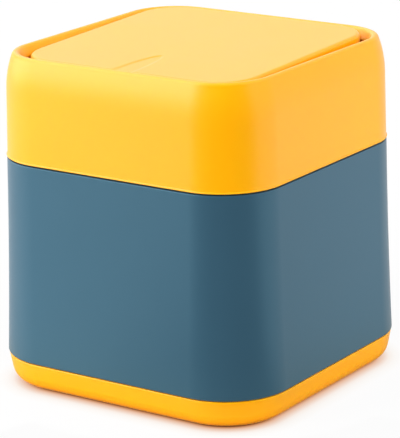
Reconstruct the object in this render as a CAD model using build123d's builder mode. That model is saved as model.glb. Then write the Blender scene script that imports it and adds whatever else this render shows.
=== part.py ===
from build123d import *
from math import acos, asin, atan, cos, degrees, radians, sin, tan
import os

# A small square countertop bin with a swinging push flap, in millimetres.
# +Z is up, the origin is on the counter under the bin's centre, and the front, with the thumb scoop, is -Y.
# Every wall is a section carried round a rounded square. All those squares share one corner centre, so
# walls that lie inside each other keep an even gap round the corners.

# Outside
foot_width = 150.0  # body's lower edge, its widest place
foot_corner_radius = 32.0
body_taper = 2.85  # how far each side leans in over the body's height
body_hollow = 0.37  # how far a side curves in behind a straight line
pad_stand = 0.9  # rubber pads, below the tray
tray_height = 14.2
body_height = 95.0
lid_gap = 0.3  # shadow line between body and collar
collar_height = 48.65
collar_step = 0.05  # collar's foot stands out from the body's top
collar_taper = 0.8  # how far each side leans in below the roll
roll_width, roll_height, roll_radius = 4.95, 16.8, 2.0  # soft top edge, and its tight crown
funnel_depth, funnel_slope = 5.6, 68.0  # the crown's way down into the flap's opening, in degrees
tuck_width, tuck_radius = 6.0, 3.0  # how far the tray turns in under the body, and its tight bottom edge

# Body and tray
body_wall = 2.2
shoulder_thickness = 2.0
neck_height, neck_wall = 9.0, 1.6
tray_wall, tray_floor = 2.4, 2.4
spigot_height, spigot_wall, spigot_clearance = 7.0, 1.8, 0.1
bead_depth, bead_height, bead_clearance = 0.5, 1.6, 0.1
pad_diameter, pad_recess, pad_inset, pad_edge = 14.0, 1.2, 24.0, 0.5

# Bucket and bag ring
bucket_clearance = 0.4  # inside the neck
bucket_wall, bucket_floor, bucket_flange = 1.4, 1.8, 1.6
bucket_draft = 1.5  # degrees
bucket_corner = 9.0  # rounding between wall and floor
bucket_hang = 1.5  # under the bucket, above the tray's floor
ring_wall, ring_flange, ring_depth, ring_clearance = 1.2, 1.4, 9.0, 0.3

# Collar and lid frame
collar_wall = 2.2
collar_clearance = 0.35  # round the neck
lip_width, lip_edge = 2.2, 0.8  # flat underside of the funnel's lip
lip_slope_height = 8.0  # from the lip out to the wall
frame_thickness, frame_clearance = 2.4, 0.15
frame_ear_diameter = 9.4
screw_diameter, screw_head_diameter, screw_head_height, screw_length = 2.5, 4.6, 1.5, 10.0
screw_boss_diameter, screw_boss_height = 8.0, 13.0
screw_edge = 0.8  # frame left outside a screw's head
post_width, post_thickness, post_crown = 14.0, 3.8, 4.2
post_clearance = 0.2  # to the pocket in the collar
gusset_height, gusset_thickness = 14.0, 2.0
pocket_wall = 1.6  # left outside the pockets for the posts

# Flap, drawn level about its pivot and then tipped forward
pivot_drop = 10.5  # below the rim
flap_sink = 0.2  # top of the flap below the rim, over the pivot
flap_tip = 1.5  # degrees, front edge down
flap_gap = 2.6  # all round, to the rim's lip
flap_corner_radius = 19.0
flap_wall, flap_top, flap_edge = 1.8, 2.0, 1.8
flap_skirt_drop = 5.0  # below the pivot
scoop_width, scoop_length, scoop_depth, scoop_side = 13.2, 33.0, 0.9, 1.6  # half an oval, with sloping sides
rib_thickness, rib_pitch, rib_clearance = 1.2, 40.0, 0.2
flap_boss_diameter, flap_boss_spread = 6.5, 80.0
pan_thickness, pan_clearance = 1.6, 0.15
pan_cup_height, cup_web = 2.2, 1.4  # recess for a screw's head
flap_screw_length = 8.0
weight_length, weight_width, weight_height = 100.0, 13.0, 6.5
weight_clearance, weight_shift, weight_chamfer = 0.2, -0.08, 0.5
trough_wall, trough_corner = 1.4, 1.0

# Pivots and stops
pin_diameter, pin_grip = 4.0, 9.0
pin_running_clearance = 0.05
pin_end_gap, pin_chamfer = 0.4, 0.4
bush_wall, bush_flange_wall, bush_flange = 1.45, 2.7, 0.8
pin_boss_width, pin_boss_drop, pin_boss_end = 9.0, 3.2, 1.5
swing_limit = 68.0  # degrees each way from level
bumper_diameter, bumper_reach, bumper_stem_diameter = 5.0, 1.6, 2.6
bumper_clearance, bumper_edge = 0.15, 0.8

os.makedirs("parts", exist_ok=True)

def side_roll(width, height, tight_radius, lean=0.0):
    """A side that leans in by an angle, then turns in by width over height, the last of it with a tight
    arc: the long arc's radius, and its tilt where the tight arc takes over."""
    rise = height - tight_radius
    inward = width * cos(radians(lean)) - tight_radius - rise * sin(radians(lean))
    long_radius = (width**2 + rise**2 - tight_radius**2) / (2 * inward)
    return long_radius, degrees(acos((long_radius * cos(radians(lean)) - width) / (long_radius - tight_radius)))


# Places worked out from the sizes above
foot_half = foot_width / 2
body_top_half = foot_half - body_taper
collar_foot_half = body_top_half + collar_step
shoulder_half = collar_foot_half - collar_taper
corner_centre = foot_half - foot_corner_radius
tray_top = pad_stand + tray_height
body_top = tray_top + body_height
neck_top = body_top + neck_height
collar_foot = body_top + lid_gap
rim_top = collar_foot + collar_height
roll_foot = rim_top - roll_height
collar_inner_foot = collar_foot_half - collar_wall
collar_inner_shoulder = shoulder_half - collar_wall
neck_outer = collar_inner_foot - collar_clearance
neck_inner = neck_outer - neck_wall
bucket_outer = neck_inner - bucket_clearance
bucket_inner = bucket_outer - bucket_wall
bucket_foot = pad_stand + tray_floor + bucket_hang
flange_top = neck_top + bucket_flange
ring_outer = bucket_inner - ring_clearance
ring_inner = ring_outer - ring_wall
ring_top = flange_top + ring_flange
frame_top = ring_top + frame_thickness
funnel_half = shoulder_half - roll_width - roll_radius * tan(radians(funnel_slope / 2))
lip_half = funnel_half - funnel_depth / tan(radians(funnel_slope))
lip_height = rim_top - funnel_depth
lip_foot = lip_height - lip_slope_height
flap_half = lip_half - flap_gap
pivot_height = rim_top - pivot_drop
flap_rise = pivot_drop - flap_sink
inner_slope = (collar_inner_foot - collar_inner_shoulder) / (lip_foot - collar_foot)
frame_outer = collar_inner_foot - inner_slope * (frame_top - collar_foot) - frame_clearance
screw_centre = corner_centre + (frame_outer - corner_centre - screw_edge - screw_head_diameter / 2) / 2**0.5
collar_lean = degrees(atan(collar_taper / (roll_foot - collar_foot)))
roll_long, roll_tilt = side_roll(roll_width, roll_height, roll_radius, collar_lean)
post_rise = (roll_height - pivot_drop + post_crown) / roll_long + sin(radians(collar_lean))
collar_half_at_post = shoulder_half - roll_long * (cos(radians(collar_lean)) - cos(asin(post_rise)))
post_outer = collar_half_at_post - pocket_wall - post_clearance
post_inner = post_outer - post_thickness
bush_outer_radius = pin_diameter / 2 + pin_running_clearance + bush_wall
bumper_drop = (flap_skirt_drop + bumper_diameter / 2 + bumper_clearance) / cos(radians(swing_limit))
flap_plane = Plane(
    origin=(0, 0, pivot_height),
    x_dir=(1, 0, 0),
    z_dir=(0, -sin(radians(flap_tip)), cos(radians(flap_tip))),
)
flap_up = Axis((0, 0, pivot_height), flap_plane.z_dir)


def walk_square(half_width):
    """A rounded square on the counter, along which a wall's section is swept."""
    with BuildSketch() as plan:
        RectangleRounded(2 * half_width, 2 * half_width, half_width - corner_centre)
    return plan.sketch.face().outer_wire()


def save(piece, name):
    piece.label = name
    export_step(piece, f"parts/{name}.step")


# Body sleeve: a drafted wall, open below, with a shoulder and a neck for the lid
wall_inner_foot = foot_half - body_wall
wall_inner_top = body_top_half - body_wall
joggle = wall_inner_top - neck_inner
spigot_outer = wall_inner_foot - spigot_clearance
bead_middle = tray_top + spigot_height / 2

with BuildPart() as body_sleeve:
    with BuildSketch(Plane.XZ) as sleeve_section:
        with BuildLine():
            SagittaArc((foot_half, tray_top), (body_top_half, body_top), body_hollow)
            shoulder = Polyline(
                (body_top_half, body_top),
                (neck_outer, body_top),
                (neck_outer, neck_top),
                (neck_inner, neck_top),
                (neck_inner, body_top - shoulder_thickness),
                (wall_inner_top, body_top - shoulder_thickness - joggle),
            )
            inner_wall = SagittaArc(
                (wall_inner_foot, bead_middle + spigot_height), shoulder @ 1, body_hollow
            )
            Polyline(
                inner_wall @ 0,
                (wall_inner_foot, bead_middle + bead_height / 2 + bead_clearance),
                (wall_inner_foot + bead_depth, bead_middle),
                (wall_inner_foot, bead_middle - bead_height / 2 - bead_clearance),
                (wall_inner_foot, tray_top),
                (foot_half, tray_top),
            )
        make_face()
    sweep(path=walk_square(foot_half))
save(body_sleeve.part, "body_sleeve")

# Base tray: turns in under the body, and its spigot snaps into the sleeve
tuck_long, tuck_tilt = side_roll(tuck_width, tray_height, tuck_radius)
floor_reach = foot_half - tuck_width

with BuildPart() as base_tray:
    with BuildSketch(Plane.XZ) as tray_section:
        with BuildLine():
            outer_side = JernArc((foot_half, tray_top), (0, -1), tuck_long, -tuck_tilt)
            JernArc(outer_side @ 1, outer_side % 1, tuck_radius, tuck_tilt - 90)
            inner_side = JernArc(
                (foot_half - tray_wall, tray_top), (0, -1), tuck_long - tray_wall, -tuck_tilt
            )
            inner_turn = JernArc(
                inner_side @ 1, inner_side % 1, tuck_radius - tray_wall, tuck_tilt - 90
            )
            Polyline(
                (floor_reach, pad_stand),
                (floor_reach - tuck_width, pad_stand),
                (floor_reach - tuck_width, pad_stand + tray_floor),
                inner_turn @ 1,
            )
            Line((foot_half, tray_top), (foot_half - tray_wall, tray_top))
        make_face()
    sweep(path=walk_square(foot_half))
    with BuildSketch(Plane.XZ) as spigot_section:
        with BuildLine():
            Polyline(
                (foot_half - tray_wall / 2, tray_top - tray_wall),
                (foot_half - tray_wall / 2, tray_top),
                (spigot_outer, tray_top),
                (spigot_outer, bead_middle - bead_height / 2),
                (spigot_outer + bead_depth, bead_middle),
                (spigot_outer, bead_middle + bead_height / 2),
                (spigot_outer, tray_top + spigot_height),
                (spigot_outer - spigot_wall, tray_top + spigot_height),
                (spigot_outer - spigot_wall, tray_top - tray_wall),
                close=True,
            )
        make_face()
    sweep(path=walk_square(spigot_outer))
    with BuildSketch(Plane.XY.offset(pad_stand)):
        floor_half = floor_reach - tuck_width / 2
        RectangleRounded(2 * floor_half, 2 * floor_half, floor_half - corner_centre)
    extrude(amount=tray_floor)
    with BuildSketch(Plane.XY.offset(pad_stand)):
        with GridLocations(foot_width - 2 * pad_inset, foot_width - 2 * pad_inset, 2, 2):
            Circle(pad_diameter / 2)
    extrude(amount=pad_recess, mode=Mode.SUBTRACT)
save(base_tray.part, "base_tray")

# Foot pads
pad_centre = foot_half - pad_inset
for side, x in (("left", -pad_centre), ("right", pad_centre)):
    for end, y in (("front", -pad_centre), ("rear", pad_centre)):
        with BuildPart() as foot_pad:
            with BuildSketch():
                with Locations((x, y)):
                    Circle(pad_diameter / 2)
            extrude(amount=pad_stand + pad_recess)
            chamfer(foot_pad.edges().sort_by(Axis.Z)[0], pad_edge)
        save(foot_pad.part, f"foot_pad_{end}_{side}")

# Inner bucket: hangs by its flange on the neck
bucket_depth = neck_top - bucket_foot
bucket_base = bucket_outer - bucket_depth * tan(radians(bucket_draft))

with BuildPart() as inner_bucket:
    with BuildSketch(Plane.XZ) as bucket_section:
        with BuildLine():
            bucket_side = Line((bucket_outer, neck_top), (bucket_base, bucket_foot))
            bucket_under = Line(bucket_side @ 1, (corner_centre + bucket_corner, bucket_foot))
            Polyline(
                bucket_under @ 1,
                (corner_centre + bucket_corner, bucket_foot + bucket_floor),
                (bucket_base - bucket_wall, bucket_foot + bucket_floor),
                (bucket_inner, flange_top),
                (neck_outer, flange_top),
                (neck_outer, neck_top),
                (bucket_outer, neck_top),
            )
        make_face()
        fillet(bucket_section.vertices().sort_by_distance((bucket_base, 0, bucket_foot))[0], bucket_corner)
        fillet(
            bucket_section.vertices().sort_by_distance(
                (bucket_base - bucket_wall, 0, bucket_foot + bucket_floor)
            )[0],
            bucket_corner - bucket_wall,
        )
    sweep(path=walk_square(bucket_outer))
    with BuildSketch(Plane.XY.offset(bucket_foot)):
        bucket_floor_half = corner_centre + bucket_corner
        RectangleRounded(2 * bucket_floor_half, 2 * bucket_floor_half, bucket_corner)
    extrude(amount=bucket_floor)
save(inner_bucket.part, "inner_bucket")

# Bag ring: lies on the bucket's flange and holds a liner's edge
with BuildPart() as bag_ring:
    with BuildSketch(Plane.XZ) as ring_section:
        with BuildLine():
            Polyline(
                (neck_outer, flange_top),
                (neck_outer, ring_top),
                (ring_inner, ring_top),
                (ring_inner, flange_top - ring_depth),
                (ring_outer - ring_wall / 2, flange_top - ring_depth),
                (ring_outer, flange_top),
                close=True,
            )
        make_face()
    sweep(path=walk_square(ring_outer))
save(bag_ring.part, "bag_ring")

# Lid collar: tall drafted skirt, soft top edge, and a funnel down to the lip round the flap's opening
with BuildPart() as lid_collar:
    with BuildSketch(Plane.XZ) as collar_section:
        with BuildLine():
            side = Line((collar_foot_half, collar_foot), (shoulder_half, roll_foot))
            roll_side = JernArc(side @ 1, side % 1, roll_long, roll_tilt - collar_lean)
            roll_turn = JernArc(roll_side @ 1, roll_side % 1, roll_radius, 90 - roll_tilt)
            crown_turn = JernArc(roll_turn @ 1, (-1, 0), roll_radius, funnel_slope)
            Polyline(
                crown_turn @ 1,
                (lip_half, lip_height),
                (lip_half + lip_width, lip_height),
                (collar_inner_shoulder, lip_foot),
                (collar_inner_foot, collar_foot),
                (collar_foot_half, collar_foot),
            )
        make_face()
        fillet(collar_section.vertices().sort_by_distance((lip_half, 0, lip_height))[0], lip_edge)
    sweep(path=walk_square(shoulder_half))
    with BuildSketch(Plane.XY.offset(frame_top)):
        with GridLocations(2 * screw_centre, 2 * screw_centre, 2, 2):
            Circle(screw_boss_diameter / 2)
            Circle(screw_diameter / 2, mode=Mode.SUBTRACT)
    extrude(amount=screw_boss_height)
    with BuildSketch(Plane.XY.offset(frame_top)):
        with GridLocations(post_inner + post_outer, 0, 2, 1):
            Rectangle(post_thickness + 2 * post_clearance, post_width + 2 * post_clearance)
    extrude(amount=pivot_height + post_crown + post_clearance - frame_top, mode=Mode.SUBTRACT)
save(lid_collar.part, "lid_collar")


# Lid frame: closes the collar below, and its two posts carry the flap
with BuildPart() as lid_frame:
    with BuildSketch(Plane.XY.offset(ring_top)):
        RectangleRounded(2 * frame_outer, 2 * frame_outer, frame_outer - corner_centre)
        RectangleRounded(2 * ring_inner, 2 * ring_inner, ring_inner - corner_centre, mode=Mode.SUBTRACT)
        with GridLocations(2 * screw_centre, 2 * screw_centre, 2, 2):
            Circle(frame_ear_diameter / 2)
        RectangleRounded(2 * frame_outer, 2 * frame_outer, frame_outer - corner_centre, mode=Mode.INTERSECT)
        with GridLocations(2 * screw_centre, 2 * screw_centre, 2, 2):
            Circle(screw_diameter / 2, mode=Mode.SUBTRACT)
    extrude(amount=frame_thickness)
    with BuildSketch(Plane.XY.offset(ring_top)):
        with GridLocations(2 * screw_centre, 2 * screw_centre, 2, 2):
            Circle(screw_head_diameter / 2)
    extrude(amount=screw_head_height, mode=Mode.SUBTRACT)
    for side in (-1, 1):
        post_foot = pivot_height + post_crown - ring_top
        with BuildSketch(Plane.YZ.offset(side * post_inner)):
            with Locations((0, ring_top + post_foot / 2)):
                Rectangle(post_width, post_foot)
            with Locations((0, pivot_height)):
                Circle(bush_outer_radius, mode=Mode.SUBTRACT)
            with Locations((0, pivot_height - bumper_drop)):
                Circle(bumper_stem_diameter / 2, mode=Mode.SUBTRACT)
        extrude(amount=side * post_thickness)
        with BuildSketch(Plane.XZ) as gusset_outline:
            with BuildLine():
                Polyline(
                    (side * post_outer, frame_top),
                    (side * frame_outer, frame_top),
                    (side * post_outer, frame_top + gusset_height),
                    close=True,
                )
            make_face()
        extrude(amount=gusset_thickness / 2, both=True)
save(lid_frame.part, "lid_frame")

# Bearings: flanged bushes pressed into the posts, and soft buttons that stop the flap's swing
for name, side in (("left", -1), ("right", 1)):
    with BuildPart() as bearing:
        with BuildSketch(Plane.YZ.offset(side * post_inner)):
            with Locations((0, pivot_height)):
                Circle(bush_outer_radius)
                Circle(pin_diameter / 2 + pin_running_clearance, mode=Mode.SUBTRACT)
        extrude(amount=side * post_thickness)
        with BuildSketch(Plane.YZ.offset(side * post_inner)):
            with Locations((0, pivot_height)):
                Circle(pin_diameter / 2 + pin_running_clearance + bush_flange_wall)
                Circle(pin_diameter / 2 + pin_running_clearance, mode=Mode.SUBTRACT)
        extrude(amount=-side * bush_flange)
    save(bearing.part, f"bearing_{name}")

    with BuildPart() as stop_bumper:
        with BuildSketch(Plane.YZ.offset(side * post_inner)):
            with Locations((0, pivot_height - bumper_drop)):
                Circle(bumper_diameter / 2)
        extrude(amount=-side * (post_inner - flap_half + bumper_reach))
        chamfer(stop_bumper.edges().filter_by(GeomType.CIRCLE).sort_by(Axis.X)[-1 if side < 0 else 0], bumper_edge)
        with BuildSketch(Plane.YZ.offset(side * post_inner)):
            with Locations((0, pivot_height - bumper_drop)):
                Circle(bumper_stem_diameter / 2)
        extrude(amount=side * post_thickness)
    save(stop_bumper.part, f"stop_bumper_{name}")

    with BuildPart() as pivot_pin:
        with BuildSketch(Plane.YZ.offset(side * (flap_half - flap_wall - pin_grip))):
            with Locations((0, pivot_height)):
                Circle(pin_diameter / 2)
        extrude(amount=side * (post_outer - pin_end_gap - flap_half + flap_wall + pin_grip))
        chamfer(pivot_pin.edges().filter_by(GeomType.CIRCLE), pin_chamfer)
    save(pivot_pin.part, f"pivot_pin_{name}")

# Screws that hold the frame up into the collar
with BuildPart() as frame_screws:
    with BuildSketch(Plane.XY.offset(ring_top)):
        with GridLocations(2 * screw_centre, 2 * screw_centre, 2, 2):
            Circle(screw_head_diameter / 2)
    extrude(amount=screw_head_height)
    with BuildSketch(Plane.XY.offset(ring_top + screw_head_height)):
        with GridLocations(2 * screw_centre, 2 * screw_centre, 2, 2):
            Circle(screw_diameter / 2)
    extrude(amount=screw_length)
save(frame_screws.part, "frame_screws")

# Flap cover: a shallow box, open below, with a scoop for the thumb at its front edge
inside_half = flap_half - flap_wall
plate_under = flap_rise - flap_top
pan_foot = -flap_skirt_drop
pan_top = pan_foot + pan_thickness
cup_top = pan_top + pan_cup_height
rib_foot = pan_top + rib_clearance
pin_root = inside_half - pin_grip

with BuildPart() as flap_cover:
    with BuildSketch(flap_plane.offset(pan_foot)):
        RectangleRounded(2 * flap_half, 2 * flap_half, flap_corner_radius)
    extrude(amount=flap_rise - pan_foot)
    fillet(flap_cover.faces().sort_by(flap_up)[-1].edges(), flap_edge)
    with BuildSketch(flap_plane.offset(pan_foot)):
        RectangleRounded(2 * inside_half, 2 * inside_half, flap_corner_radius - flap_wall)
    extrude(amount=plate_under - pan_foot, mode=Mode.SUBTRACT)
    with BuildSketch(flap_plane.offset(plate_under - scoop_depth)):
        with Locations((0, -inside_half)):
            Ellipse(scoop_width / 2, scoop_length)
        Rectangle(2 * inside_half, 2 * inside_half, mode=Mode.INTERSECT)
    extrude(amount=scoop_depth)
    with BuildSketch(flap_plane.offset(rib_foot)):
        with GridLocations(rib_pitch, 0, 2, 1):
            Rectangle(rib_thickness, 2 * inside_half)
        with GridLocations(0, rib_pitch, 1, 2):
            Rectangle(2 * inside_half, rib_thickness)
    extrude(amount=plate_under - rib_foot)
    with BuildSketch(flap_plane.offset(cup_top)):
        with GridLocations(flap_boss_spread, flap_boss_spread, 2, 2):
            Circle(flap_boss_diameter / 2)
    extrude(amount=plate_under - cup_top)
    with BuildSketch(flap_plane.offset(-pin_boss_drop)):
        boss_length = pin_grip + pin_boss_end
        with GridLocations(2 * inside_half - boss_length, 0, 2, 1):
            Rectangle(boss_length, pin_boss_width)
    extrude(amount=plate_under + pin_boss_drop)
    for side in (-1, 1):
        with BuildSketch(Plane.YZ.offset(side * pin_root)):
            with Locations((0, pivot_height)):
                Circle(pin_diameter / 2)
        extrude(amount=side * (flap_half - pin_root), mode=Mode.SUBTRACT)
    with BuildSketch(flap_plane.offset(cup_top)):
        with GridLocations(flap_boss_spread, flap_boss_spread, 2, 2):
            Circle(screw_diameter / 2)
    extrude(amount=flap_screw_length - cup_web, mode=Mode.SUBTRACT)
    for height, inset in ((flap_rise, 0), (flap_rise - scoop_depth, scoop_side)):
        with BuildSketch(flap_plane.offset(height)):
            with Locations((0, -flap_half)):
                Ellipse(scoop_width / 2 - inset, scoop_length - inset)
    loft(mode=Mode.SUBTRACT)
save(flap_cover.part, "flap_cover")

# Flap pan: closes the cover below, with a trough for the counterweight
pan_half = inside_half - pan_clearance
trough_length = weight_length + 2 * weight_clearance
trough_width = weight_width + 2 * weight_clearance
weight_foot = pan_top - weight_clearance - weight_height
trough_foot = weight_foot - trough_wall

with BuildPart() as flap_pan:
    with BuildSketch(flap_plane.offset(pan_foot)):
        RectangleRounded(2 * pan_half, 2 * pan_half, flap_corner_radius - flap_wall - pan_clearance)
    extrude(amount=pan_thickness)
    with BuildSketch(flap_plane.offset(pan_top)):
        with GridLocations(flap_boss_spread, flap_boss_spread, 2, 2):
            Circle(screw_head_diameter / 2 + cup_web)
    extrude(amount=pan_cup_height)
    with BuildSketch(flap_plane.offset(trough_foot)):
        with Locations((0, weight_shift)):
            RectangleRounded(
                trough_length + 2 * trough_wall, trough_width + 2 * trough_wall, trough_wall + trough_corner
            )
    extrude(amount=pan_foot - trough_foot)
    with BuildSketch(flap_plane.offset(weight_foot)):
        with Locations((0, weight_shift)):
            Rectangle(trough_length, trough_width)
    extrude(amount=pan_top - weight_foot, mode=Mode.SUBTRACT)
    with BuildSketch(flap_plane.offset(pan_foot)):
        with GridLocations(flap_boss_spread, flap_boss_spread, 2, 2):
            Circle(screw_head_diameter / 2)
    extrude(amount=cup_top - cup_web - pan_foot, mode=Mode.SUBTRACT)
    with BuildSketch(flap_plane.offset(pan_foot)):
        with GridLocations(flap_boss_spread, flap_boss_spread, 2, 2):
            Circle(screw_diameter / 2)
    extrude(amount=cup_top - pan_foot, mode=Mode.SUBTRACT)
save(flap_pan.part, "flap_pan")

# Counterweight: a steel bar that hangs below the pivots and levels the flap after a push
with BuildPart() as counterweight:
    with BuildSketch(flap_plane.offset(weight_foot)):
        with Locations((0, weight_shift)):
            Rectangle(weight_length, weight_width)
    extrude(amount=weight_height)
    chamfer(counterweight.edges(), weight_chamfer)
save(counterweight.part, "counterweight")

# Screws that hold the pan up into the cover
with BuildPart() as flap_screws:
    with BuildSketch(flap_plane.offset(cup_top - cup_web - screw_head_height)):
        with GridLocations(flap_boss_spread, flap_boss_spread, 2, 2):
            Circle(screw_head_diameter / 2)
    extrude(amount=screw_head_height)
    with BuildSketch(flap_plane.offset(cup_top - cup_web)):
        with GridLocations(flap_boss_spread, flap_boss_spread, 2, 2):
            Circle(screw_diameter / 2)
    extrude(amount=flap_screw_length)
save(flap_screws.part, "flap_screws")
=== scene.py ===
from math import acos, atan2, cos, hypot, pi, radians, sin, tan

import bpy
from mathutils import Matrix, Vector


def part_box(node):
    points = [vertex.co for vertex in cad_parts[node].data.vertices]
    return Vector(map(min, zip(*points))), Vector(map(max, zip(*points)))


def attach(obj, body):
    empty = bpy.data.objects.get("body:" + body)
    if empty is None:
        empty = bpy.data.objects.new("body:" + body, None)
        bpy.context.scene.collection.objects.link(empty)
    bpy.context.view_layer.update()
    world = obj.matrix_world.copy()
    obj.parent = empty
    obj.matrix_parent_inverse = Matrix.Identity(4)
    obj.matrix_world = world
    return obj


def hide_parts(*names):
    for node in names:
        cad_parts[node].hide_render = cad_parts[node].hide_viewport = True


# A square countertop bin with a swinging push flap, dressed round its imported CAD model. Everything is in
# metres, +Z is up and the front, with the thumb scoop, is -Y.

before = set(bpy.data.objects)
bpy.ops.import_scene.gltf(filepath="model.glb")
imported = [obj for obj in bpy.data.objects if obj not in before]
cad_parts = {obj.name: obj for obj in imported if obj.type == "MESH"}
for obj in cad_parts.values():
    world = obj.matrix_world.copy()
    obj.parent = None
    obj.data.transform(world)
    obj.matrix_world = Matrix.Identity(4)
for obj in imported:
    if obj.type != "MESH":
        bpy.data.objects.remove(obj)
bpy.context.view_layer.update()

# Places read from the frame
sleeve_low, sleeve_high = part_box("body_sleeve")
tray_low, tray_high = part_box("base_tray")
collar_low, collar_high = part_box("lid_collar")
pin_low, pin_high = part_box("pivot_pin_right")
pivot_height = (pin_low.z + pin_high.z) / 2
body_foot, neck_top = sleeve_low.z, sleeve_high.z
collar_foot, rim_top = collar_low.z, collar_high.z

# Sizes shared with the frame's walls
corner_centre = 0.043  # every wall's corners turn about this point of the plan
corner_steps = 24
round_steps = 6  # for each rounding of a section
hair = 0.0004  # the least rounding that a moulded edge has
arc_slack = 0.001  # the share by which an arc's radius is cut, so that it doesn't run into the next one

# Body
seam_edge = 0.0008  # rounding of the body's foot, which overhangs the tray
seam_gap = 0.0006  # how much wider than the model's the lid's seam is shown
body_top_half, body_top = 0.07215, 0.1101
body_hollow = 0.00037  # how far a side curves in behind a straight line
body_wall, shoulder_thickness, neck_wall = 0.0022, 0.002, 0.0016
neck_half = 0.06965

# Tray, whose sides lean in below the body's foot and then turn in to a flat underside
seam_drop = 0.0004  # how far below the body's foot the tray's edge is shown
tray_inset, tuck_lean = 0.0004, radians(10)
tuck_width, tuck_radius = 0.00896, 0.00768
tray_wall, tray_floor, flat_half = 0.0024, 0.0024, 0.063
spigot_half, spigot_wall = 0.0727, 0.0018
spigot_root = 0.002  # rounding where the spigot's inside meets the tray's floor

# Lid, whose wall turns in above its shoulder to a soft crown
foot_bead = 0.0002  # how far a fine bead round the lid's foot stands out past the line of its wall
shoulder_half = 0.0714
roll_width, roll_height, roll_radius = 0.00495, 0.0168, 0.002
collar_wall = 0.0022
funnel_depth, funnel_slope = 0.0056, radians(68)  # from the rim's crown down into the flap's opening
lip_width, lip_edge, lip_slope_height = 0.0022, 0.0008, 0.008

# Flap
flap_half, flap_corner, flap_drop = 0.06024, 0.019, 0.005
flap_wall, flap_plate, flap_edge = 0.0018, 0.002, 0.0018
flap_tip = radians(1.5)
flap_sink = 0.0002  # top of the flap below the rim, over the pivot
scoop_width, scoop_length, scoop_depth, scoop_side = 0.0132, 0.033, 0.00035, 0.0024


# Camera: the photograph's viewpoint and framing
camera_azimuth, camera_elevation, camera_roll = radians(34.333), radians(16.2996), radians(-1.0322)
camera_distance, aim_height = 1.20605, 0.07486
image_height, focal_pixels = 438, 2551.8
sensor_side = 36.0
shift_across, shift_up = 0.0003, -0.0067


def toward(azimuth, elevation=0.0):
    """Unit vector with that azimuth, counted from the front toward +X, and that elevation."""
    return Vector((sin(azimuth) * cos(elevation), -cos(azimuth) * cos(elevation), sin(elevation)))


def add_camera():
    data = bpy.data.cameras.new("camera")
    data.sensor_fit = "VERTICAL"
    data.sensor_height = sensor_side
    data.lens = focal_pixels * sensor_side / image_height
    data.shift_x = shift_across
    data.shift_y = shift_up
    data.clip_end = 20.0
    camera = bpy.data.objects.new("camera", data)
    bpy.context.scene.collection.objects.link(camera)
    aim = Vector((0, 0, aim_height))
    away = toward(camera_azimuth, camera_elevation)
    turn = away.to_track_quat("Z", "Y").to_matrix().to_4x4()
    roll = Matrix.Rotation(camera_roll, 4, "Z")
    camera.matrix_world = Matrix.Translation(aim + camera_distance * away) @ turn @ roll
    bpy.context.scene.camera = camera


# Nodes and materials
def tree_of(owner):
    owner.use_nodes = True
    owner.node_tree.nodes.clear()
    return owner.node_tree


def node(tree, kind, inputs=None, **settings):
    """A shader node with its settings; inputs are values or other nodes' outputs."""
    made = tree.nodes.new(kind)
    for key, value in settings.items():
        setattr(made, key, value)
    for key, value in (inputs or {}).items():
        if isinstance(value, bpy.types.NodeSocket):
            tree.links.new(value, made.inputs[key])
        else:
            made.inputs[key].default_value = value
    return made


def noise(tree, place, scale, detail, roughness):
    inputs = {"Vector": place, "Scale": scale, "Detail": detail, "Roughness": roughness}
    return node(tree, "ShaderNodeTexNoise", inputs)


def shade(colour, by):
    """A colour, lighter or darker by a factor."""
    return tuple(min(1.0, channel * by) for channel in colour) + (1.0,)


def plastic(name, colour, roughness=0.4, grain=0.00045, bump=0.05, drift=0.03, bevel=0.0, **sockets):
    """A moulded plastic: colour and roughness drift a little, and a fine grain roughens the skin. The sockets
    are the shader's own, by name, such as Sheen_Weight."""
    material = bpy.data.materials.new(name)
    tree = tree_of(material)
    place = node(tree, "ShaderNodeTexCoord").outputs["Object"]
    broad = noise(tree, place, 28.0, 3.0, 0.55)
    fine = noise(tree, place, 1 / grain, 2.0, 0.5)
    tint = node(
        tree,
        "ShaderNodeMix",
        {"Factor": broad.outputs["Fac"], "A": shade(colour, 1 - drift), "B": shade(colour, 1 + drift)},
        data_type="RGBA",
    )
    gloss = node(
        tree,
        "ShaderNodeMapRange",
        {"Value": broad.outputs["Fac"], "To Min": roughness - 0.03, "To Max": roughness + 0.03},
    )
    inputs = {"Height": fine.outputs["Fac"], "Strength": bump, "Distance": grain / 4}
    if bevel:
        inputs["Normal"] = node(tree, "ShaderNodeBevel", {"Radius": bevel}, samples=4).outputs["Normal"]
    skin = node(tree, "ShaderNodeBump", inputs)
    shader = node(
        tree,
        "ShaderNodeBsdfPrincipled",
        {
            "Base Color": tint.outputs["Result"],
            "Roughness": gloss.outputs["Result"],
            "Normal": skin.outputs["Normal"],
        },
    )
    for key, value in sockets.items():
        shader.inputs[key.replace("_", " ")].default_value = value
    tree.links.new(shader.outputs[0], node(tree, "ShaderNodeOutputMaterial").inputs["Surface"])
    return material


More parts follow.
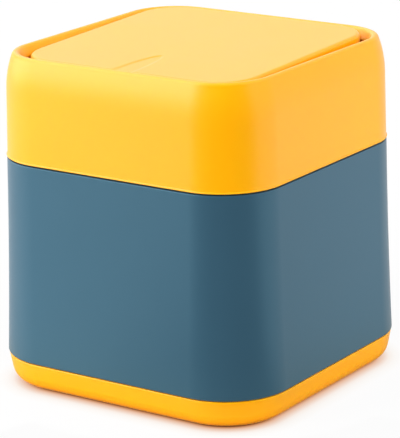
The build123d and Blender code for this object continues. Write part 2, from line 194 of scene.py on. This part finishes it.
def metal(name, colour, roughness, scratch, bevel=0.0002):
    """A metal with fine marks in its roughness."""
    material = bpy.data.materials.new(name)
    tree = tree_of(material)
    place = node(tree, "ShaderNodeTexCoord").outputs["Object"]
    marks = noise(tree, place, 900.0, 4.0, 0.6)
    gloss = node(
        tree,
        "ShaderNodeMapRange",
        {"Value": marks.outputs["Fac"], "To Min": roughness - scratch, "To Max": roughness + scratch},
    )
    tint = node(
        tree,
        "ShaderNodeMix",
        {"Factor": marks.outputs["Fac"], "A": shade(colour, 0.9), "B": shade(colour, 1.08)},
        data_type="RGBA",
    )
    edge = node(tree, "ShaderNodeBevel", {"Radius": bevel}, samples=4)
    skin = node(
        tree,
        "ShaderNodeBump",
        {
            "Height": marks.outputs["Fac"],
            "Strength": 0.08,
            "Distance": 0.0001,
            "Normal": edge.outputs["Normal"],
        },
    )
    shader = node(
        tree,
        "ShaderNodeBsdfPrincipled",
        {
            "Base Color": tint.outputs["Result"],
            "Metallic": 1.0,
            "Roughness": gloss.outputs["Result"],
            "Normal": skin.outputs["Normal"],
        },
    )
    tree.links.new(shader.outputs[0], node(tree, "ShaderNodeOutputMaterial").inputs["Surface"])
    return material


small_edge = 0.00025  # how far the shading of a carried-over plastic node rounds its edges
materials = {
    "lid_yellow": plastic(
        "lid_yellow",
        (0.99, 0.42, 0.002),
        roughness=0.38,
        grain=0.0006,
        Subsurface_Weight=0.2,
        Subsurface_Radius=(1.0, 0.4, 0.05),
        Subsurface_Scale=0.004,
        Sheen_Weight=0.1,
        Sheen_Roughness=0.25,
    ),
    "body_blue": plastic(
        "body_blue",
        (0.036, 0.092, 0.138),
        roughness=0.4,
        grain=0.0006,
        Specular_IOR_Level=0.66,
        Specular_Tint=(0.4, 0.82, 1.0, 1.0),
        Sheen_Weight=0.1,
        Sheen_Roughness=0.25,
    ),
    "frame_orange": plastic("frame_orange", (0.93, 0.36, 0.01), roughness=0.45, bevel=small_edge),
    "inner_grey": plastic("inner_grey", (0.3, 0.31, 0.32), roughness=0.42, bevel=small_edge),
    "bush_white": plastic("bush_white", (0.75, 0.74, 0.7), roughness=0.35, bevel=small_edge),
    "pad_rubber": plastic("pad_rubber", (0.035, 0.035, 0.037), roughness=0.7, grain=0.0003, bump=0.15),
    "bright_steel": metal("bright_steel", (0.62, 0.62, 0.6), 0.25, 0.05),
    "weight_iron": metal("weight_iron", (0.36, 0.35, 0.34), 0.45, 0.1),
}

slots = {
    "lid_yellow": ("lid_collar", "base_tray", "flap_cover"),
    "body_blue": ("body_sleeve",),
    "frame_orange": ("lid_frame", "flap_pan"),
    "inner_grey": ("inner_bucket", "bag_ring"),
    "bush_white": ("bearing_left", "bearing_right"),
    "pad_rubber": (
        "foot_pad_front_left",
        "foot_pad_front_right",
        "foot_pad_rear_left",
        "foot_pad_rear_right",
        "stop_bumper_left",
        "stop_bumper_right",
    ),
    "bright_steel": ("frame_screws", "flap_screws", "pivot_pin_left", "pivot_pin_right"),
    "weight_iron": ("counterweight",),
}


def finish_piece(piece, slot):
    piece.data.materials.clear()
    piece.data.materials.append(materials[slot])


for slot, names in slots.items():
    for name in names:
        finish_piece(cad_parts[name], slot)


# Sections and meshes
def soften(corners, closed=True):
    """A section's outline from its corners (across, up, rounding), with an arc in place of each corner."""
    outline = []
    count = len(corners)
    for index, (x, z, radius) in enumerate(corners):
        here = Vector((x, z))
        if radius == 0 or not (closed or 0 < index < count - 1):
            outline.append(here)
            continue
        back = (Vector(corners[index - 1][:2]) - here).normalized()
        ahead = (Vector(corners[(index + 1) % count][:2]) - here).normalized()
        half_angle = back.angle(ahead) / 2
        centre = here + (back + ahead).normalized() * radius / sin(half_angle)
        start = here + back * radius / tan(half_angle) - centre
        sweep = start.angle_signed(here + ahead * radius / tan(half_angle) - centre)
        for step in range(round_steps + 1):
            turned = -sweep * step / round_steps
            outline.append(centre + Matrix.Rotation(turned, 2) @ start)
    return outline


def rounded_square(half, side_steps=(1, 1, 1, 1), centre=corner_centre):
    """Points round a rounded square from its +X side on; side_steps divide the front, right, rear, left."""
    points = []
    for quarter in range(4):
        middle = Matrix.Rotation(quarter * pi / 2, 2) @ Vector((centre, centre))
        for step in range(corner_steps + 1):
            angle = (quarter + step / corner_steps) * pi / 2
            points.append(middle + (half - centre) * Vector((cos(angle), sin(angle))))
        after = Matrix.Rotation(pi / 2, 2) @ middle
        start = points[-1].copy()
        gap = after - middle
        steps = side_steps[(quarter + 2) % 4]
        points += [start + gap * step / steps for step in range(1, steps)]
    return points


def mesh_piece(name, body, node_name, slot, rings, closed=True, place=Matrix.Identity(4)):
    """A piece from rings of points, joined in turn; an open run of rings is capped at both ends."""
    around = len(rings[0])
    faces = []
    count = len(rings)
    for lower in range(count if closed else count - 1):
        upper = (lower + 1) % count
        for step in range(around):
            following = (step + 1) % around
            faces.append(
                (
                    lower * around + step,
                    lower * around + following,
                    upper * around + following,
                    upper * around + step,
                )
            )
    if not closed:
        faces.append(tuple(reversed(range(around))))
        faces.append(tuple((count - 1) * around + step for step in range(around)))
    mesh = bpy.data.meshes.new(name)
    mesh.from_pydata([place @ point for ring in rings for point in ring], [], faces)
    mesh.validate()
    mesh.shade_smooth()
    mesh.set_sharp_from_angle(angle=radians(50))
    piece = bpy.data.objects.new(name, mesh)
    bpy.context.scene.collection.objects.link(piece)
    weighted = piece.modifiers.new("even_normals", "WEIGHTED_NORMAL")
    weighted.keep_sharp = True
    weighted.weight = 90
    finish_piece(piece, slot)
    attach(piece, body)
    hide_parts(node_name)
    return piece


def swept(outline):
    """Rings that carry a section's outline round the rounded square."""
    return [[Vector((*point, z)) for point in rounded_square(half)] for half, z in outline]


def side_roll(width, height, tight_radius, lean=0.0):
    """The long arc of a side that leans in and then turns in by width over height, the last of it with a
    tight arc: its radius, and its tilt where the tight one takes over."""
    rise = height - tight_radius
    long_radius = (width**2 + rise**2 - tight_radius**2) / (
        2 * (width * cos(lean) - tight_radius - rise * sin(lean))
    )
    return long_radius, acos((long_radius * cos(lean) - width) / (long_radius - tight_radius))


def add_collar():
    """The lid's tall skirt, with its soft top edge and the funnel round the flap's opening."""
    foot, rim = collar_foot, rim_top
    foot_half = collar_high.x
    roll_foot = rim - roll_height
    lean = atan2(foot_half - shoulder_half, roll_foot - foot)
    long_radius, tilt = side_roll(roll_width, roll_height, roll_radius, lean)
    reach = long_radius * tan((tilt - lean) / 2)
    crown_half = shoulder_half - roll_width
    funnel_half = crown_half - roll_radius * tan(funnel_slope / 2)
    lip_half = funnel_half - funnel_depth / tan(funnel_slope)
    lip_foot = rim - funnel_depth - lip_slope_height
    outline = soften(
        [
            (foot_half + foot_bead, foot, foot_bead / 2),
            (foot_half + foot_bead, foot + 2 * foot_bead, foot_bead / 2),
            (foot_half - foot_bead, foot + 3.5 * foot_bead, foot_bead),
            (shoulder_half - reach * sin(lean), roll_foot + reach * cos(lean), long_radius),
            (crown_half + roll_radius * tan((pi / 2 - tilt) / 2), rim, roll_radius * (1 - arc_slack)),
            (funnel_half, rim, roll_radius * (1 - 2 * arc_slack)),
            (lip_half, rim - funnel_depth, lip_edge),
            (lip_half + lip_width, rim - funnel_depth, hair),
            (shoulder_half - collar_wall, lip_foot, lip_edge),
            (foot_half - collar_wall, foot, hair),
        ]
    )
    mesh_piece("collar", "lid", "lid_collar", "lid_yellow", swept(outline))


def hollow_side(start, end):
    """Corners between a body side's two ends, which curve in behind a straight line."""
    steps = 8
    corners = []
    for step in range(1, steps):
        share = step / steps
        across, up = Vector(start).lerp(Vector(end), share)
        corners.append((across - body_hollow * 4 * share * (1 - share), up, 0))
    return corners


def add_sleeve():
    """The blue body: a drafted wall, open below, with a shoulder and a neck for the lid."""
    foot_half = sleeve_high.x
    inner_top = body_top_half - body_wall
    neck_inner = neck_half - neck_wall
    shoulder = body_top - seam_gap
    under = shoulder - shoulder_thickness
    joggle_foot = under - (inner_top - neck_inner)
    outline = soften(
        [
            (foot_half, body_foot, seam_edge),
            *hollow_side((foot_half, body_foot), (body_top_half, shoulder)),
            (body_top_half, shoulder, hair),
            (neck_half, shoulder, hair),
            (neck_half, neck_top, hair),
            (neck_inner, neck_top, hair),
            (neck_inner, under, hair),
            (inner_top, joggle_foot, hair),
            *hollow_side((inner_top, joggle_foot), (foot_half - body_wall, body_foot)),
            (foot_half - body_wall, body_foot, hair),
        ]
    )
    mesh_piece("sleeve", "body", "body_sleeve", "body_blue", swept(outline))


def add_tray():
    """The yellow base, which turns in under the body."""
    half = tray_high.x - tray_inset
    floor = tray_low.z
    tray_top = body_foot - seam_drop
    long_radius, tilt = side_roll(tuck_width, tray_top - floor, tuck_radius, tuck_lean)
    reach = long_radius * tan((tilt - tuck_lean) / 2)
    bend = (half - reach * sin(tuck_lean), tray_top - reach * cos(tuck_lean))
    bend_radius = long_radius * (1 - 1.2 * hair / reach)  # its arc ends short of the top edge's rounding
    foot_corner = half - tuck_width + tuck_radius * tan((pi / 2 - tilt) / 2)
    inside = spigot_half - spigot_wall
    outline = soften(
        [
            (flat_half, floor, 0),
            (foot_corner, floor, tuck_radius * (1 - arc_slack)),
            (*bend, bend_radius),
            (half, tray_top, hair),
            (spigot_half, tray_top, hair),
            (spigot_half, tray_high.z, hair),
            (inside, tray_high.z, hair),
            (inside, tray_top - tray_wall, spigot_root),
            (flat_half, floor + tray_floor, 0),
        ],
        closed=False,
    )
    mesh_piece("tray", "body", "base_tray", "lid_yellow", swept(outline), closed=False)


def scoop_dip(x, y):
    """How deep the thumb scoop is at a place on the flap: half an oval whose sides slope and end softly."""
    past_rim = 1 - hypot(x / (scoop_width / 2), (y + flap_half) / scoop_length)
    past_floor = 1 - hypot(x / (scoop_width / 2 - scoop_side), (y + flap_half) / (scoop_length - scoop_side))
    if past_rim <= 0:
        return 0.0
    if past_floor >= 0:
        return scoop_depth
    share = past_rim / (past_rim - past_floor)
    return scoop_depth * share**2 * (3 - 2 * share)


def add_flap():
    """The push flap's shell: top plate with the scoop, rounded edge and skirt."""
    sides = (160, 8, 8, 8)  # steps of the front, right, rear and left; the scoop needs them at the front
    top_rings, under_rings = 110, 42
    flap_rise = rim_top - flap_sink - pivot_height
    inner_half = flap_half - flap_wall
    plate_under = flap_rise - flap_plate
    middle = 0.0004  # half the width of the ring at the middle of the plate

    def flap_outline(half):
        return rounded_square(half, sides, flap_half - flap_corner)

    def flat_rings(half, height, steps):
        """Rings from a flat face's edge to its middle."""
        edge = flap_outline(half)
        rings = []
        for step in range(steps + 1):
            share = step / steps
            scale = (1 - share) + share * middle / half
            rings.append([(point.x * scale, point.y * scale, height) for point in edge])
        return rings

    rings = flat_rings(flap_half - flap_edge, flap_rise, top_rings)[::-1]
    for step in range(1, round_steps + 2):
        angle = step / (round_steps + 1) * pi / 2
        half = flap_half - flap_edge * (1 - sin(angle))
        height = flap_rise - flap_edge * (1 - cos(angle))
        rings.append([(point.x, point.y, height) for point in flap_outline(half)])
    for half in (flap_half, inner_half):
        rings.append([(point.x, point.y, -flap_drop) for point in flap_outline(half)])
    rings += flat_rings(inner_half, plate_under, under_rings)

    def dipped(x, y, z):
        if z <= 0:
            return Vector((x, y, z))
        return Vector((x, y, z - scoop_dip(x, y)))

    place = Matrix.Translation((0, 0, pivot_height)) @ Matrix.Rotation(flap_tip, 4, "X")
    mesh_piece(
        "flap",
        "flap",
        "flap_cover",
        "lid_yellow",
        [[dipped(*point) for point in ring] for ring in rings],
        closed=False,
        place=place,
    )


# Floor, background and lamps
def seen_directly(tree, in_gloss=1.0):
    """1 where the camera sees a surface directly or through glass, and in_gloss where it is reflected."""
    path = node(tree, "ShaderNodeLightPath")
    reflected = node(
        tree, "ShaderNodeMath", {0: path.outputs["Is Glossy Ray"], 1: in_gloss}, operation="MULTIPLY"
    )
    either = node(
        tree,
        "ShaderNodeMath",
        {0: path.outputs["Is Camera Ray"], 1: reflected.outputs[0]},
        operation="MAXIMUM",
    )
    through = node(
        tree,
        "ShaderNodeMath",
        {0: either.outputs[0], 1: path.outputs["Is Transmission Ray"]},
        operation="MAXIMUM",
    )
    return through.outputs[0]


def off_tray(tree):
    """How far a place on the floor lies outside the line where the tray comes down to it."""
    contact_half = 0.0655
    place = node(tree, "ShaderNodeTexCoord").outputs["Object"]
    mirrored = node(tree, "ShaderNodeVectorMath", {0: place}, operation="ABSOLUTE")
    beyond = node(
        tree,
        "ShaderNodeVectorMath",
        {0: mirrored.outputs["Vector"], 1: (corner_centre, corner_centre, 0)},
        operation="SUBTRACT",
    )
    outside = node(
        tree, "ShaderNodeVectorMath", {0: beyond.outputs["Vector"], 1: (0, 0, 0)}, operation="MAXIMUM"
    )
    reach = node(tree, "ShaderNodeVectorMath", {0: outside.outputs["Vector"]}, operation="LENGTH")
    corner = contact_half - corner_centre
    past = node(tree, "ShaderNodeMath", {0: reach.outputs["Value"], 1: corner}, operation="SUBTRACT")
    return past.outputs[0]


def graded(tree, distance, reach, stops):
    """Colours along a distance, from its start to reach."""
    share = node(tree, "ShaderNodeMapRange", {"Value": distance, "From Max": reach})
    ramp = node(tree, "ShaderNodeValToRGB", {"Fac": share.outputs["Result"]})
    for index, (position, colour) in enumerate(stops):
        stop = ramp.color_ramp.elements[index] if index < 2 else ramp.color_ramp.elements.new(position)
        stop.position = position
        stop.color = (*colour, 1)
    return ramp.outputs["Color"]


def add_floor():
    size = 3.0
    shown_white = 0.93  # the share of the floor in view that glows, the painted contact shadow with it; the rest takes real light and shadow
    painted_shadow_reach, painted_shade_reach = 0.016, 0.06  # how far out the painted contact shadow and glow, and the painted shade near the tray, go
    gloss_reach, gloss_white = 0.08, 0.36  # the gloss shows that much of the white from that far out, and less nearer the tray: painted shade in the floor's reflection
    mesh = bpy.data.meshes.new("floor")
    corners = [(-size, -size, 0), (size, -size, 0), (size, size, 0), (-size, size, 0)]
    mesh.from_pydata(corners, [], [(0, 1, 2, 3)])
    floor = bpy.data.objects.new("floor", mesh)
    bpy.context.scene.collection.objects.link(floor)
    material = bpy.data.materials.new("floor_white")
    tree = tree_of(material)
    # How far out from the tray's contact line: it places the painted contact shadow, glow and shade
    distance = off_tray(tree)
    # In view: a painted contact shadow, dark where the tray meets the floor, and a painted warm glow of the
    # tray's colour bounced onto the floor, fading to white
    painted_contact_shadow = graded(
        tree,
        distance,
        painted_shadow_reach,
        (
            (0.0, (0.16, 0.04, 0.004)),
            (0.07, (0.54, 0.22, 0.08)),
            (0.2, (0.82, 0.5, 0.34)),
            (0.5, (0.955, 0.88, 0.825)),
            (0.66, (0.975, 0.95, 0.925)),
            (0.82, (0.99, 0.98, 0.965)),
            (1.0, (1, 1, 1)),
        ),
    )
    # Painted shade: to light that bounces off it, the floor is painted dark and warm near the tray, and pale
    # further out
    pale = (0.82, 0.82, 0.82)
    painted_shade_stops = ((0.0, (0.1, 0.04, 0.005)), (0.15, (0.7, 0.5, 0.15)), (1.0, pale))
    painted_bounce_shade = graded(tree, distance, painted_shade_reach, painted_shade_stops)
    seen = seen_directly(tree, 0.0)
    matt_colour = node(tree, "ShaderNodeMix", {"Factor": seen, "A": painted_bounce_shade, "B": (*pale, 1)}, data_type="RGBA")
    # Painted shade in reflections: near the tray the floor's white fades out of what gloss sees
    in_gloss = node(
        tree, "ShaderNodeMapRange", {"Value": distance, "From Max": gloss_reach, "To Max": gloss_white}
    )
    matt = node(tree, "ShaderNodeBsdfDiffuse", {"Color": matt_colour.outputs["Result"]})
    glow = node(tree, "ShaderNodeEmission", {"Color": painted_contact_shadow, "Strength": 1.0})
    plain = seen_directly(tree, in_gloss.outputs["Result"])
    share = node(tree, "ShaderNodeMath", {0: plain, 1: shown_white}, operation="MULTIPLY")
    mix = node(
        tree, "ShaderNodeMixShader", {0: share.outputs[0], 1: matt.outputs[0], 2: glow.outputs[0]}
    )
    tree.links.new(mix.outputs[0], node(tree, "ShaderNodeOutputMaterial").inputs["Surface"])
    mesh.materials.append(material)


def add_background():
    lighting = 0.2
    world = bpy.data.worlds.new("studio")
    bpy.context.scene.world = world
    tree = tree_of(world)
    seen = seen_directly(tree)
    strength = node(tree, "ShaderNodeMapRange", {"Value": seen, "To Min": lighting, "To Max": 1.0})
    level = strength.outputs["Result"]
    white = node(tree, "ShaderNodeBackground", {"Color": (1, 1, 1, 1), "Strength": level})
    tree.links.new(white.outputs[0], node(tree, "ShaderNodeOutputWorld").inputs["Surface"])


def add_lamp(name, azimuth, elevation, width, height, power, shine=True, light=True):
    """A soft box; shine is whether gloss shows it, and light whether it lights matt surfaces."""
    distance = 5.0
    data = bpy.data.lights.new(name, "AREA")
    data.shape = "RECTANGLE"
    data.size = width
    data.size_y = height
    data.energy = power
    lamp = bpy.data.objects.new(name, data)
    bpy.context.scene.collection.objects.link(lamp)
    away = toward(azimuth, elevation)
    aim = Vector((0, 0, aim_height))
    turn = away.to_track_quat("Z", "Y").to_matrix().to_4x4()
    lamp.matrix_world = Matrix.Translation(aim + distance * away) @ turn
    lamp.visible_camera = False
    lamp.visible_glossy = shine
    lamp.visible_diffuse = light


def add_dark_card():
    """A black card round the camera's side of the bin, which takes the shine off the near corner."""
    half_span, steps = radians(48), 24
    profile = ((0.106, 0.002), (0.3, 0.002), (0.75, 0.45), (0.8, 1.2))  # radius and height
    rows = []
    for step in range(steps + 1):
        away = toward(camera_azimuth + half_span * (2 * step / steps - 1))
        rows.append([away * radius + Vector((0, 0, height)) for radius, height in profile])
    faces = []
    for row in range(steps):
        for column in range(len(profile) - 1):
            start = row * len(profile) + column
            faces.append((start, start + 1, start + 1 + len(profile), start + len(profile)))
    mesh = bpy.data.meshes.new("dark_card")
    mesh.from_pydata([point for row in rows for point in row], [], faces)
    card = bpy.data.objects.new("dark_card", mesh)
    bpy.context.scene.collection.objects.link(card)
    material = bpy.data.materials.new("card_black")
    tree = tree_of(material)
    matt = node(tree, "ShaderNodeBsdfDiffuse", {"Color": (0.03, 0.03, 0.03, 1)})
    tree.links.new(matt.outputs[0], node(tree, "ShaderNodeOutputMaterial").inputs["Surface"])
    mesh.materials.append(material)
    card.visible_camera = False
    card.visible_shadow = False


add_camera()
add_dark_card()
add_floor()
add_background()
add_lamp("key_left", camera_azimuth - radians(80), radians(26), 3.8, 3.8, 200.0)
add_lamp("left_high", camera_azimuth - radians(115), radians(54), 2.3, 2.0, 70.0, light=False)
add_lamp("rim_left", camera_azimuth - radians(112), radians(9), 2.6, 2.0, 50.0, light=False)
add_lamp("rear_left", camera_azimuth - radians(150), radians(38), 3.3, 2.7, 42.0)
add_lamp("rear_shine", camera_azimuth - radians(168), radians(14), 3.3, 1.9, 7.0, light=False)
add_lamp("right_high", camera_azimuth + radians(95), radians(48), 3.3, 2.7, 16.0)
add_lamp("front", camera_azimuth, radians(30), 3.8, 3.8, 228.0, shine=False)
add_lamp("front_left", camera_azimuth - radians(50), radians(25), 3.8, 3.8, 90.0, shine=False)
add_lamp("front_right", camera_azimuth + radians(50), radians(25), 3.8, 3.8, 136.0, shine=False)
add_lamp("rear_soft", camera_azimuth + radians(180), radians(30), 3.8, 3.8, 55.0, shine=False)
bpy.context.scene.view_settings.view_transform = "Standard"

add_sleeve()
add_tray()
add_collar()
add_flap()
